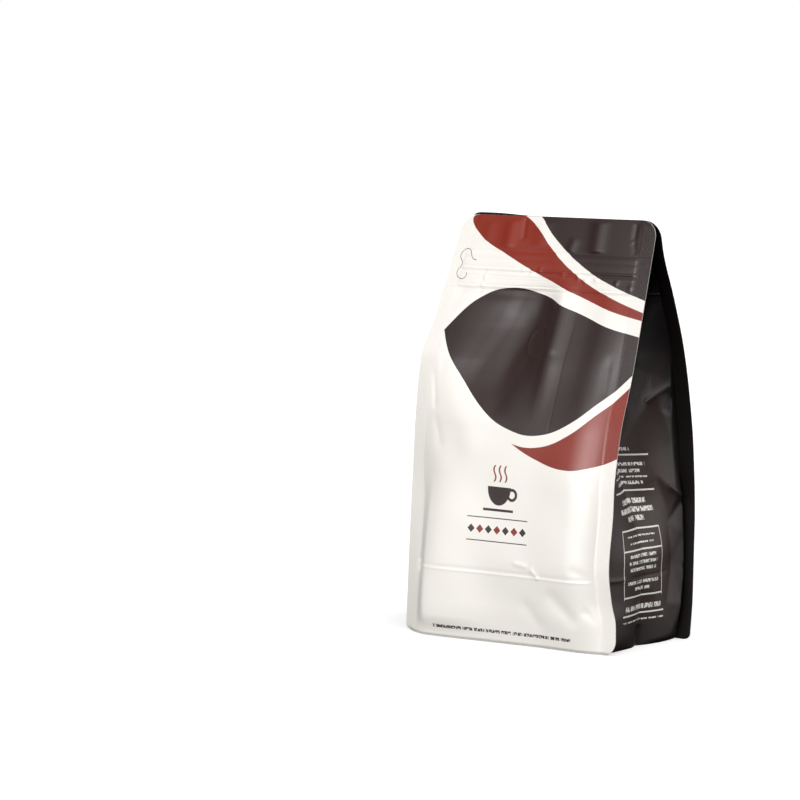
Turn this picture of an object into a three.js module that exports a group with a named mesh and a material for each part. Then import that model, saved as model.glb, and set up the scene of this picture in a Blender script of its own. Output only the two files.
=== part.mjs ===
// A filled flat-bottom pouch of printed film, standing on its base and shut at the top.
// Millimetres, +Z up, the front panel towards -Y, the middle of the base at the origin.
// The pouch is one closed skin: a ring of points round each level, from the base up to the top edge.

import * as THREE from 'three';

// ---- Driving dimensions ----
const WIDTH = 135; // across the sealed fins at the sides
const HEIGHT = 217.8; // from the base to the top edge
const FIN = 8.5; // width of the heat-sealed fin along each upright corner
const FIN_THICKNESS = 1.1;
const SHUT_GAP = 0.3; // between the films that lie on each other under the top edge
const GUSSET_FILM = 78.5; // a side gusset between its two fins, laid flat
const GUSSET_FULLNESS = 2.6; // most that half a gusset stands out from its chord
const TOP_CORNER = 9; // radius
const BOTTOM_CORNERS = { frontLeft: 4, frontRight: 8.4, backLeft: 3, backRight: 3 }; // radii
const FOLD_HEIGHT = 37.2; // line where the base was folded up inside the flat pouch
const ZIPPER_LOW = 181; // press-to-close band across the panels
const ZIPPER_HIGH = 200.5;
const ZIPPER_RIBS = [184.5, 188.5, 195.5]; // heights of the ribs across that band
const ZIPPER_RIB = { height: 0.7, width: 1.1 };
const VALVE = { x: 3.8, z: 154.3, radius: 7.8, height: 0.5, width: 2.4 }; // vent behind the film

const FLANK = 18; // width over which a panel rises from its fin
const HOLLOW = 9; // depth of the front's sunken upper left

const HALF = WIDTH / 2;
const PANEL = HALF - FIN; // half the panel between the fins

// ---- Upright lines of the filled pouch: [height, millimetres] ----
// How far forward (-) or back (+) each fin stands. The top edge is twisted: its left end lies further back.
const FRONT_LEFT = [[0, -35.2], [42, -33], [84, -29.5], [110, -27.4], [143, -22.6], [161, -12.3],
  [182, -1.6], [HEIGHT, 16]];
const FRONT_RIGHT = [[0, -34.8], [20, -35.6], [45, -38], [82, -37.1], [111, -32.2], [140, -22.4],
  [176, -12.1], [HEIGHT, -0.6]];
const BACK_RIGHT = [[0, 32.3], [25, 35.2], [62, 36.2], [99, 34.2], [125, 30.4], [151, 24.5], [177, 15.2],
  [203, 4.4], [HEIGHT, 1.4]];
const BACK_LEFT = [[0, 34], [40, 36.5], [80, 36], [120, 33.5], [150, 29.5], [182, 23.2], [206, 19.4],
  [HEIGHT, 18.5]];
// How far each panel stands out between its fins.
const FRONT_FULLNESS = [[0, 2.8], [20, 6.1], [45, 7.9], [60, 8.2], [85, 7.8], [110, 6.8], [145, 4.6],
  [175, 1.2], [205, 0.5], [HEIGHT, 0.3]];
const BACK_FULLNESS = [[0, 1.2], [20, 4], [60, 6.4], [110, 6.6], [150, 4.4], [180, 1.2], [205, 0.4],
  [HEIGHT, 0.3]];
// The front's left side rises in its own way: how wide its flank is, the share of the rise that it takes,
// and how steep it starts, where its slope goes as (start + t)(1 - t)^2.
const LEFT_FLANK = [[0, 15], [30, 18], [48, 23], [70, 26], [HEIGHT, 26]];
const LEFT_SHARE = [[0, 0.95], [45, 0.9], [85, 0.65], [105, 0.4], [128, 0.3], [160, 0.5], [HEIGHT, 0.88]];
const LEFT_START = [[0, 3], [45, 2], [66, 0.8], [90, 0.2], [HEIGHT, 0.15]];
const LEFT_INSET = [[0, 3], [70, 3], [100, 0], [HEIGHT, 0]]; // how far inside its fin the left flank starts
// How far the front's left fin is bent back at its outer edge.
const FIN_BEND = [[0, 6], [18, 5.2], [45, 3.6], [80, 2.2], [130, 1.6], [170, 0.4], [190, 0], [HEIGHT, 0]];
// How the front's hollow spreads up, and across from the left fin to the right one.
const HOLLOW_UP = [[0, 0], [112, 0], [134, 0.6], [152, 1], [165, 0.85], [180, 0.35], [190, 0], [HEIGHT, 0]];
const HOLLOW_ACROSS = [[-59, 0], [-50, 0.1], [-40, 0.28], [-30, 0.56], [-20, 0.86], [-8, 1], [2, 0.8],
  [10, 0.34], [16, 0.04], [18, 0.02], [26, 0.2], [34, 0.24], [46, 0.1], [59, 0]];
const HOLLOW_SLANT = 0.4; // how far its left wall leans to the left for each millimetre down
// How deep the middle of each gusset folds in, negative where it stands out.
const RIGHT_VALLEY = [[0, 3.4], [20, 1], [45, -1.5], [63, 4], [83, 13], [110, 21.5], [137, 28], [165, 34.5],
  [190, 38], [HEIGHT, 39.2]];
const LEFT_VALLEY = [[0, 3], [25, 0.5], [50, 0], [75, 8], [110, 19], [137, 26.5], [165, 33.5], [190, 37.5],
  [HEIGHT, 39]];
// The fins pull in where the base was folded.
const FRONT_RIGHT_TUCK = [[0, 0.6], [16, 0.3], [27, 2.2], [42, 2.9], [75, 0.8], [HEIGHT, 0]];
const OTHER_TUCK = [[0, 0.2], [40, 0.5], [80, 0.2], [HEIGHT, 0]];

// ---- Soft creases: ridges (+) and valleys (-), each from one place to another on its panel ----
// On the panels the places are [across, height].
const FRONT_CREASES = [
  { from: [-42, 134], to: [-18, 92], height: 0.8, width: 9 },
  { from: [-58, FOLD_HEIGHT], to: [58, FOLD_HEIGHT], height: -0.5, width: 1.8 },
  { from: [29, 32], to: [48, 13], height: -1, width: 4.5 },
  { from: [30.5, 203], to: [30, 217], height: 1.1, width: 4.6 }, // buckles under the top edge
  { from: [-30, 203], to: [-31, 217], height: 0.8, width: 4.5 },
  { from: [-8, 203], to: [-9, 217], height: 0.7, width: 6 },
  { from: [14.5, 180], to: [17, 148], height: 0.7, width: 4.6 }, // soft waves below the zipper
  { from: [-11, 172], to: [-9, 112], height: -0.8, width: 8 },
];
const BACK_CREASES = [
  { from: [-58, FOLD_HEIGHT], to: [58, FOLD_HEIGHT], height: -0.8, width: 1.8 },
  { from: [-20, 41], to: [-44, 14], height: -1, width: 5 },
  { from: [50, 148], to: [53, 60], height: -1.8, width: 4.5 },
  { from: [-50, 146], to: [-54, 62], height: -1.6, width: 4.5 },
  { from: [30, 205], to: [27, 217], height: 1, width: 4.5 },
  { from: [-34, 205], to: [-36, 217], height: 0.9, width: 4.5 },
];
// On the gussets a place across runs from -1 at the front fin, past 0 at the middle fold, to 1 at the back.
const RIGHT_CREASES = [
  { from: [0.94, 133], to: [0.72, 130.5], height: 1.8, width: 4 },
  { from: [0.72, 130.5], to: [0.38, 115], height: 2.2, width: 9 },
  { from: [0.86, 103], to: [0.6, 96], height: 1.6, width: 9 },
  { from: [0.84, 76], to: [0.5, 87], height: 2.6, width: 8 },
  { from: [0.9, 73], to: [0.94, 36], height: 2.4, width: 5 },
  { from: [0.94, 36], to: [0.76, 4], height: 2.2, width: 5 },
  { from: [-1, FOLD_HEIGHT], to: [1, FOLD_HEIGHT], height: -0.4, width: 1.8 },
];
const LEFT_CREASES = [
  { from: [0.7, 120], to: [0.2, 138], height: 1.6, width: 6 },
  { from: [-0.8, 66], to: [-0.84, 20], height: 1.6, width: 6 },
  { from: [-1, FOLD_HEIGHT], to: [1, FOLD_HEIGHT], height: -0.7, width: 1.8 },
];

// ---- Mesh density ----
// Columns from the middle of a panel to its fin, closer over the flank.
const PANEL_PLACES = [0, 8, 15, 21.5, 28, 34.5, 40.5, 45.5, 49.5, 52.5, 55, 57.2, PANEL];
const GUSSET_COLUMNS = 14;
const ROW_STEP = 5.4; // most that two rows lie apart

// A smooth line through [height, value] pairs, which never overshoots them.
function along(line, z) {
  let i = 0;
  while (i < line.length - 2 && z > line[i + 1][0]) i += 1;
  const slope = (k) => (line[k + 1][1] - line[k][1]) / (line[k + 1][0] - line[k][0]);
  const bend = (k) => {
    if (k === 0) return slope(0);
    if (k === line.length - 1) return slope(k - 1);
    const before = slope(k - 1);
    const after = slope(k);
    return before * after <= 0 ? 0 : (2 * before * after) / (before + after);
  };
  const step = line[i + 1][0] - line[i][0];
  const t = THREE.MathUtils.clamp((z - line[i][0]) / step, 0, 1);
  const rise = t * t * (3 - 2 * t);
  return line[i][1] * (1 - rise) + line[i + 1][1] * rise
    + step * (bend(i) * t * (1 - t) ** 2 - bend(i + 1) * t * t * (1 - t));
}

// The height of all the creases at a place, where a gusset's places across are stretched to millimetres.
function creased(creases, across, z, stretch = 1) {
  let height = 0;
  for (const crease of creases) {
    const from = new THREE.Vector2(crease.from[0] * stretch, crease.from[1]);
    const run = new THREE.Vector2(crease.to[0] * stretch, crease.to[1]).sub(from);
    const place = new THREE.Vector2(across * stretch, z).sub(from);
    const t = THREE.MathUtils.clamp(place.dot(run) / run.lengthSq(), 0, 1);
    const away = place.sub(run.multiplyScalar(t)).length() / crease.width;
    height += crease.height * Math.exp(-away * away);
  }
  return height;
}

// Ribs of the press-to-close band, which both panels show from fin to fin.
function zipper(x, z) {
  if (z < ZIPPER_LOW || z > ZIPPER_HIGH || Math.abs(x) > PANEL) return 0;
  const rib = (height) => Math.exp(-(((z - height) / ZIPPER_RIB.width) ** 2));
  return ZIPPER_RIB.height * ZIPPER_RIBS.reduce((sum, height) => sum + rib(height), 0);
}

function valve(x, z) {
  const away = (Math.hypot(x - VALVE.x, z - VALVE.z) - VALVE.radius) / VALVE.width;
  return VALVE.height * Math.exp(-away * away);
}

const smooth = (low, high, v) => THREE.MathUtils.smoothstep((v - low) / (high - low), 0, 1);

// How full a panel is across: a steep flank beside each fin, and a slow rise to the middle.
function riseAcross(x) {
  const away = Math.min(Math.abs(x), PANEL);
  const steep = 1 - (1 - THREE.MathUtils.clamp((PANEL - away) / FLANK, 0, 1)) ** 2.4;
  return 0.88 * steep + 0.12 * (1 - (away / PANEL) ** 2);
}

// The front's fullness across. Its left flank is steepest at the fin low down, and further in higher up.
function frontDome(x, z) {
  if (x >= 0) return riseAcross(x);
  const away = Math.min(-x, PANEL);
  const inside = PANEL - along(LEFT_INSET, z) - away;
  const t = THREE.MathUtils.clamp(inside / along(LEFT_FLANK, z), 0, 1);
  const start = along(LEFT_START, z);
  const swell = start * t + (0.5 - start) * t ** 2 - ((2 - start) / 3) * t ** 3 + t ** 4 / 4;
  const share = along(LEFT_SHARE, z);
  return (share * swell) / (1 / 12 + start / 3) + (1 - share) * (1 - (away / PANEL) ** 2);
}

function hollow(x, z) {
  const leaning = x - HOLLOW_SLANT * (z - VALVE.z) * smooth(14, -10, x);
  return HOLLOW * along(HOLLOW_UP, z) * along(HOLLOW_ACROSS, leaning) * smooth(-PANEL, -50, x);
}

// How far the front's left side stands forward of the line between the fins, so that its fin bends back.
function finBend(x, z) {
  const flat = FIN + along(LEFT_INSET, z);
  const share = x < flat - HALF ? (HALF + x) / flat : smooth(25, flat - HALF, x);
  return along(FIN_BEND, z) * share;
}

function bottomCorner(side, front) {
  const { frontLeft, frontRight, backLeft, backRight } = BOTTOM_CORNERS;
  const [left, right] = front ? [frontLeft, frontRight] : [backLeft, backRight];
  return side > 0 ? right : left;
}

// Draws in what lies past the start of a panel's rounded corner, so that its edge keeps the round outline.
function drawnIn(x, front, z) {
  const low = z < HEIGHT / 2;
  const radius = low ? bottomCorner(Math.sign(x), front) : TOP_CORNER;
  const reach = radius - (low ? z : HEIGHT - z);
  if (reach <= 0) return x;
  const start = low ? PANEL - 1 : HALF - TOP_CORNER - 2.5;
  const past = Math.abs(x) - start;
  if (past <= 0) return x;
  const halfWidth = HALF - radius + Math.sqrt(radius ** 2 - reach ** 2);
  return Math.sign(x) * (start + (past * (halfWidth - start)) / (HALF - start));
}

// Where the line between the two fins of a panel lies.
function chord(left, right, x, z) {
  const t = (x + HALF) / WIDTH;
  return along(left, z) * (1 - t) + along(right, z) * t;
}

const frontChord = (x, z) => chord(FRONT_LEFT, FRONT_RIGHT, x, z);
const backChord = (x, z) => chord(BACK_LEFT, BACK_RIGHT, x, z);

function frontFace(x, z) {
  const fade = THREE.MathUtils.clamp((1 - Math.abs(x) / PANEL) * 10, 0, 1);
  const form = along(FRONT_FULLNESS, z) * frontDome(x, z) - hollow(x, z) + finBend(x, z);
  return frontChord(x, z) - form - creased(FRONT_CREASES, x, z) * fade - zipper(x, z) - valve(x, z);
}

function backFace(x, z) {
  const fade = THREE.MathUtils.clamp((1 - Math.abs(x) / PANEL) * 10, 0, 1);
  const form = along(BACK_FULLNESS, z) * riseAcross(x);
  return backChord(x, z) + form + creased(BACK_CREASES, x, z) * fade + zipper(x, z);
}

// Films lie on each other near the top, so a fin is no thicker than the room that is left there.
function finThickness(x, z) {
  return Math.min(FIN_THICKNESS, (backChord(x, z) - frontChord(x, z) - SHUT_GAP) / 2);
}

function tuck(side, front, z) {
  return along(side > 0 && front ? FRONT_RIGHT_TUCK : OTHER_TUCK, z);
}

// One gusset at one height, as points from its front fin round the middle fold to its back fin.
function gusset(side, z) {
  const [valley, creases] = side > 0 ? [RIGHT_VALLEY, RIGHT_CREASES] : [LEFT_VALLEY, LEFT_CREASES];
  const root = side * PANEL;
  const thickness = finThickness(root, z);
  const front = new THREE.Vector2(side * (PANEL - tuck(side, true, z)), frontFace(root, z) + thickness);
  const back = new THREE.Vector2(side * (PANEL - tuck(side, false, z)), backFace(root, z) - thickness);
  const halfMouth = front.distanceTo(back) / 2;
  const halfFilm = GUSSET_FILM / 2;
  const deepest = Math.sqrt(Math.max(halfFilm ** 2 - halfMouth ** 2, 0)) * 0.999;
  const depth = Math.min(along(valley, z), deepest);
  const foldX = side * (PANEL - depth);
  const fold = new THREE.Vector2(foldX, (frontChord(foldX, z) + backChord(foldX, z)) / 2);
  const points = [];
  for (let i = 0; i <= GUSSET_COLUMNS; i += 1) {
    const across = (2 * i) / GUSSET_COLUMNS - 1;
    const [start, end] = across < 0 ? [front, fold] : [fold, back];
    const t = across < 0 ? across + 1 : across;
    const run = end.clone().sub(start);
    const half = run.length();
    const slack = Math.max(halfFilm - half, 0);
    const fullness = Math.min(Math.sqrt((3 * half * slack) / 8), GUSSET_FULLNESS, 0.2 * halfMouth);
    const outward = new THREE.Vector2(run.y, -run.x).normalize().multiplyScalar(side);
    const edge = Math.min(1, (1 - Math.abs(across)) * 6, halfMouth / 20);
    const lift = fullness * 4 * t * (1 - t) + creased(creases, across, z, halfFilm) * edge;
    points.push(start.clone().addScaledVector(run, t).addScaledVector(outward, lift));
  }
  return points;
}

function spread(from, to, count) {
  return Array.from({ length: count + 1 }, (_, i) => from + ((to - from) * i) / count);
}

// The columns of a panel from its left edge to its right: two over each fin, the rest between them.
const RIGHT_COLUMNS = [...PANEL_PLACES, PANEL + FIN / 2, HALF];
const COLUMNS = [...RIGHT_COLUMNS.slice(1).map((x) => -x).reverse(), ...RIGHT_COLUMNS];

// All the points round the pouch at one height, counter-clockwise seen from above.
function ring(z) {
  const points = [];
  const add = (x, y, front) => points.push(new THREE.Vector3(drawnIn(x, front, z), y, z));
  const pulled = (x, front) => {
    const share = Math.min(1, Math.abs(x) / PANEL) ** 2;
    return x - Math.sign(x) * share * tuck(Math.sign(x), front, z);
  };
  const addGusset = (film) => film.forEach((point) => add(point.x, point.y, point.y < 0));
  for (const x of COLUMNS) add(pulled(x, true), frontFace(x, z), true);
  add(pulled(HALF, true), frontChord(HALF, z) + finThickness(HALF, z), true);
  addGusset(gusset(1, z));
  add(pulled(HALF, false), backChord(HALF, z) - finThickness(HALF, z), false);
  for (const x of [...COLUMNS].reverse()) add(pulled(x, false), backFace(x, z), false);
  add(pulled(-HALF, false), backChord(-HALF, z) - finThickness(-HALF, z), false);
  addGusset(gusset(-1, z).reverse());
  add(pulled(-HALF, true), frontChord(-HALF, z) + finThickness(-HALF, z), true);
  return points;
}

// Heights of the rows: close together round the corners, the fold line and the ribs.
function rowHeights() {
  const bottomRadius = BOTTOM_CORNERS.frontRight;
  const bottomArc = spread(0, 1, 4).map((t) => bottomRadius * (1 - Math.cos((t * Math.PI) / 2)));
  const topArc = spread(0, 1, 5).map((t) => HEIGHT - TOP_CORNER + TOP_CORNER * Math.sin((t * Math.PI) / 2));
  const fold = [-4, -1.8, 0, 1.8, 4].map((step) => FOLD_HEIGHT + step);
  const ribs = ZIPPER_RIBS.flatMap((z) => [z - 1.5, z, z + 1.5]);
  const fixed = [...bottomArc, ...fold, ZIPPER_LOW - 1, ...ribs, ZIPPER_HIGH, ...topArc];
  fixed.sort((a, b) => a - b);
  const rows = [fixed[0]];
  for (const z of fixed.slice(1)) {
    const below = rows[rows.length - 1];
    const steps = Math.ceil((z - below) / ROW_STEP);
    if (z - below > 1e-6) rows.push(...spread(below, z, steps).slice(1));
  }
  return rows;
}

// Closes the stack of rings into one skin, with the base and the top edge filled in flat.
function skin(rings) {
  const count = rings[0].length;
  const positions = rings.flat().flatMap((point) => [point.x, point.y, point.z]);
  const faces = [];
  for (let row = 0; row < rings.length - 1; row += 1) {
    for (let i = 0; i < count; i += 1) {
      const next = (i + 1) % count;
      const [a, b] = [row * count + i, row * count + next];
      const [c, d] = [a + count, b + count];
      faces.push(a, b, d, a, d, c);
    }
  }
  const flat = (points) => {
    const outline = points.map((p) => new THREE.Vector2(p.x, p.y));
    return THREE.ShapeUtils.triangulateShape(outline, []);
  };
  const last = (rings.length - 1) * count;
  for (const [a, b, c] of flat(rings[0])) faces.push(a, c, b);
  for (const [a, b, c] of flat(rings[rings.length - 1])) faces.push(last + a, last + b, last + c);
  const geometry = new THREE.BufferGeometry();
  geometry.setAttribute('position', new THREE.Float32BufferAttribute(positions, 3));
  geometry.setIndex(faces);
  return geometry;
}

function pouch() {
  const geometry = skin(rowHeights().map(ring));
  geometry.computeBoundingBox();
  const { min, max } = geometry.boundingBox;
  geometry.translate(-(min.x + max.x) / 2, -(min.y + max.y) / 2, 0);
  geometry.computeVertexNormals();
  const film = new THREE.MeshStandardMaterial({ color: 0xf3f0ea, roughness: 0.5, metalness: 0 });
  const mesh = new THREE.Mesh(geometry, film);
  mesh.name = 'pouch';
  return mesh;
}

const root = new THREE.Group();
root.add(pouch());

export default root;
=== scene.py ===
"""A filled flat-bottom pouch of printed film: the camera, the light and the film's fine surface.

Lengths in the shape functions are millimetres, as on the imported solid; meshes are made in metres.
"""
from math import cos, pi, radians, sin

import bmesh
import bpy
import numpy as np
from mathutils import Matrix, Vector
from mathutils.geometry import delaunay_2d_cdt


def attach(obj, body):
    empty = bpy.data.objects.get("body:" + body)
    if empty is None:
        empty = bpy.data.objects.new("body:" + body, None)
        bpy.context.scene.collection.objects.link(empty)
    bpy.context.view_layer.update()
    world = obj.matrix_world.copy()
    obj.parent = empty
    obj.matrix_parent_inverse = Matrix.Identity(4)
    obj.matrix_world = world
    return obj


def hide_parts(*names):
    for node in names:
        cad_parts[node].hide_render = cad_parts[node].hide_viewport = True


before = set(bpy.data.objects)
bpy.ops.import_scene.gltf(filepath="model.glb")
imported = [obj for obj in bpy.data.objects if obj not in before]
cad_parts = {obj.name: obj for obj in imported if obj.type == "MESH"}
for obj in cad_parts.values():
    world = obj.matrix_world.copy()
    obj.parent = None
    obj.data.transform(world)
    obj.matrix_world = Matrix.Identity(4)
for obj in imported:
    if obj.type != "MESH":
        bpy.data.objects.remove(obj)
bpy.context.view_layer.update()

MM = 0.001

# ---- Driving dimensions, as in the solid ----
WIDTH = 135.0
HEIGHT = 217.8
FIN = 8.5
FILM = 0.35            # thickness of the sealed fins
SHUT_GAP = 0.3         # between the two fins of a side where they come together
GUSSET_FILM = 78.5     # a side gusset between its two fins, laid flat
GUSSET_FULLNESS = 2.6  # the most that half a gusset swells
TOP_CORNER = 9.0
BOTTOM_CORNERS = {"front": (4.0, 8.4), "back": (3.0, 3.0)}   # left and right radii
FOLD_HEIGHT = 37.2
ZIPPER_SCORES = (179.6, 199.5)
VALVE_AT, VALVE_RADIUS = (3.8, 154.3), 7.8
VALVE_RING, VALVE_DISC = 0.36, 0.1     # how far its ring and its disc stand out
VALVE_RING_WIDTH = 0.9
FLANK = 18.0           # width over which a panel rises from its fin
FLANK_SHARE, FLANK_POWER = 0.88, 2.4   # its share of a panel's rise, and how steeply it starts
HOLLOW = 9.0           # depth of the front's sunken upper left
SHOULDER = 1.9         # how far the front swells beside its left flank
TROUGH = 0.6           # depth of the dip below the zipper's left half
Y_SHIFT = 1.2          # puts the middle of the solid's box over the origin
HALF = WIDTH / 2
PANEL = HALF - FIN
UNDERCUT, UNDERCUT_HEIGHT = 0.9, 1.8   # how far the panels' lowest edge turns in, and from how high up
BACK_RISE = 1.1        # how much higher the back's top left corner stands

# ---- Upright lines: (height, millimetres) ----
FRONT_LEFT = [(0, -35.2), (42, -33), (84, -29.5), (110, -27.4), (143, -22.6), (161, -12.3),
              (182, -1.6), (HEIGHT, 16)]
FRONT_RIGHT = [(0, -34.8), (20, -35.6), (45, -38), (82, -37.1), (111, -32.2), (140, -22.4),
               (176, -12.1), (HEIGHT, -0.6)]
BACK_RIGHT = [(0, 32.3), (25, 35.2), (62, 36.2), (99, 34.2), (125, 30.4), (151, 24.5), (177, 15.2),
              (203, 4.4), (HEIGHT, 1.4)]
BACK_LEFT = [(0, 34), (40, 36.5), (80, 36), (120, 33.5), (150, 29.5), (182, 23.2), (206, 19.4),
             (HEIGHT, 18.5)]
FRONT_FULLNESS = [(0, 2.8), (20, 6.1), (45, 7.9), (60, 8.2), (85, 7.8), (110, 6.8), (145, 4.6),
                  (175, 1.2), (205, 0.5), (HEIGHT, 0.3)]
BACK_FULLNESS = [(0, 1.2), (20, 4), (60, 6.4), (110, 6.6), (150, 4.4), (180, 1.2), (205, 0.4),
                 (HEIGHT, 0.3)]
RIGHT_VALLEY = [(0, 3.4), (20, 1), (45, -1.5), (63, 4), (83, 13), (110, 21.5), (137, 28), (165, 34.5),
                (190, 38), (HEIGHT, 39.2)]
LEFT_VALLEY = [(0, 3), (25, 0.5), (50, 0), (75, 8), (110, 19), (137, 26.5), (165, 33.5), (190, 37.5),
               (HEIGHT, 39)]
FRONT_RIGHT_TUCK = [(0, 0.6), (16, 0.3), (27, 2.2), (42, 2.9), (75, 0.8), (HEIGHT, 0)]
OTHER_TUCK = [(0, 0.2), (40, 0.5), (80, 0.2), (HEIGHT, 0)]
# The front's left side rises in its own way: how wide its flank is, the share of the rise that it takes,
# and how steep it starts, where its slope goes as (start + t) * (1 - t) ** 2.
LEFT_FLANK = [(0, 15), (30, 18), (48, 23), (70, 26), (HEIGHT, 26)]
LEFT_SHARE = [(0, 0.95), (45, 0.9), (85, 0.65), (105, 0.4), (128, 0.3), (160, 0.5), (HEIGHT, 0.88)]
LEFT_START = [(0, 3), (45, 2), (66, 0.8), (90, 0.2), (HEIGHT, 0.15)]
LEFT_INSET = [(0, 3), (70, 3), (100, 0), (HEIGHT, 0)]     # how far inside its fin the left flank starts
# How far the front's left fin is bent back, in millimetres at its outer edge.
FIN_BEND = [(0, 6), (18, 5.2), (45, 3.6), (80, 2.2), (130, 1.6), (170, 0.4), (190, 0), (HEIGHT, 0)]
# How the front's hollow spreads up and across.
HOLLOW_UP = [(0, 0), (112, 0), (134, 0.6), (152, 1), (165, 0.85), (180, 0.35), (190, 0), (HEIGHT, 0)]
HOLLOW_ACROSS = [(-59, 0), (-50, 0.1), (-40, 0.28), (-30, 0.56), (-20, 0.86), (-8, 1), (2, 0.8),
                 (10, 0.34), (16, 0.04), (18, 0.02), (26, 0.2), (34, 0.24), (46, 0.1), (59, 0)]
HOLLOW_SLANT = 0.4     # how far its left wall leans to the left for each millimetre down

# ---- Creases: (start, end, height, width, sharpness, share of the length over which each end fades) ----
# Ridges stand out (+), valleys fall in (-). Sharpness 2 is a soft swell, 1 a crisp fold. A place is (across,
# up) on a panel, and (back from the middle fold, up) on a gusset's film.
FRONT_CREASES = [
    ((-57, 139.5), (-51.5, 116), -0.45, 1.9, 1.6, 0.2),
    ((-51.5, 116), (-43, 96), -0.4, 2.8, 1.8, 0.25),
    ((-42, 134), (-18, 92), 0.8, 9.0, 2, 0.25),
    # the kinks in the fold line and the valleys below it
    ((8, 43.6), (20, 42), 0.4, 1.3, 1.8, 0.3),
    ((20, 42), (26, 36), 0.45, 1.3, 1.5, 0.15),
    ((29, 32), (48, 13), -0.6, 4.2, 2, 0.25),
    ((12, 26), (26, 8), -0.35, 3.6, 2, 0.3),
    ((18, 31), (36, 9), 0.2, 5.0, 2, 0.3),
    ((50, 24), (59, 15), -0.4, 2.6, 2, 0.3),
    ((44, 44), (60, 37.8), -0.35, 2.8, 2, 0.3),
    ((-60, 39.5), (-53, 37.8), -0.8, 1.0, 1.5, 0.25),
    ((-57, 35.4), (-56, 34.8), -0.9, 1.8, 2, 0),
    # buckles between the zipper and the top edge
    ((30.5, 200), (30, 217), 1.1, 4.6, 2, 0.1),
    ((57, 200.5), (54.3, 207), -0.45, 1.7, 2, 0.1),
    ((54.3, 207), (54, 216), -0.5, 1.8, 2, 0.1),
    ((13, 200), (15, 208), 0.6, 3.0, 2, 0.2),
    ((-30, 201), (-31, 216), 0.8, 4.5, 2, 0.1),
    ((-23, 217.5), (-21, 205), -0.5, 1.6, 1.5, 0.15),
    ((-8, 202), (-9, 216), 0.7, 6.0, 2, 0.15),
    ((-46, 203), (-47, 215), 0.4, 4.0, 2, 0.2),
    # soft waves below the zipper
    ((14.5, 182), (17, 148), 0.7, 4.6, 2, 0.12),
    ((25.5, 165), (26.5, 108), -0.1, 0.5, 2, 0.05),
    ((-11, 172), (-9, 112), -0.8, 8.0, 2, 0.2),
    ((53, 152), (54.5, 124), -0.6, 2.6, 2, 0.3),
    ((-41.5, 190), (-41.5, 176), -0.4, 1.2, 1.6, 0.1),
]
BACK_CREASES = [
    ((-58, FOLD_HEIGHT), (58, FOLD_HEIGHT), -0.8, 1.6, 1.4, 0),
    ((-20, 41), (-44, 14), -1.0, 5.0, 2, 0.2),
    ((50, 148), (53, 60), -1.8, 4.5, 2, 0.1),
    ((-50, 146), (-54, 62), -1.6, 4.5, 2, 0.1),
    ((30, 201), (27, 217), 1.0, 4.5, 2, 0.1),
    ((-34, 201), (-36, 217), 0.9, 4.5, 2, 0.1),
    ((4, 180), (6, 130), 0.7, 6.0, 2, 0.2),
    ((-18, 178), (-14, 120), -0.6, 6.0, 2, 0.2),
]
RIGHT_CREASES = [
    ((-38, 36.9), (-16, 36.3), 0.35, 1.2, 1.5, 0.15),
    ((-16, 36.3), (26, 37.2), -0.25, 1.2, 1.5, 0.2),
    ((0, 11), (-1, 0), -0.8, 1.6, 1.3, 0.1),
]
# The right gusset's facets: places on its film with how far each stands out, and the folds between them.
FACETS = {
    "top front": (0, 175, 0), "top back": (39.5, 175, 0), "fin high": (39.5, 150, 0),
    "fin V1": (39.5, 133, 0), "fin V2": (39.5, 73, 0), "fin low": (39.5, 38, 0), "foot": (39.5, 0, 0),
    "middle foot": (0, 0, 0), "middle 150": (0, 150, 0), "middle 96": (0, 96, 0.5),
    "middle 80": (0, 80, 0.3), "middle 40": (0, 40, 0), "brow": (17, 150, 1.2), "V1": (37.6, 133, 1.6),
    "V1 fold": (27, 128.5, 2.9), "V1 hollow": (26, 139, 1.4), "V1 swell": (13, 114, 2.6),
    "V1 foot": (4, 98, 0.9), "cheek": (33.5, 103, 2.0), "cheek low": (16, 95, 1.7),
    "V2": (37.6, 73.5, 2.3), "V2 fold": (31, 77, 3.8), "V2 swell": (20, 86.5, 2.4),
    "dark 60": (25, 62, -0.5), "ridge 55": (36.8, 55, 3.1), "dark 40": (27.5, 40, -1.5),
    "ridge 38": (36.8, 38, 3.4), "dark 22": (22, 20, 0.2), "ridge 20": (34, 19, 3.2),
    "corner": (29.5, 4, 1.6), "corner foot": (30, 0, 0.8), "fan": (15, 18, 0.8),
}
FOLDS = [("V1", "V1 fold"), ("V1 fold", "V1 swell"), ("V1 swell", "V1 foot"), ("V1", "V1 hollow"),
         ("V1 hollow", "brow"), ("V1", "cheek"), ("cheek", "V2 fold"), ("V2", "V2 fold"),
         ("V2 fold", "V2 swell"), ("V2", "ridge 55"), ("ridge 55", "ridge 38"), ("ridge 38", "ridge 20"),
         ("ridge 20", "corner"), ("V2 fold", "dark 60"), ("dark 60", "dark 40"), ("dark 40", "dark 22"),
         ("fan", "corner"), ("corner", "corner foot")]
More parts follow.
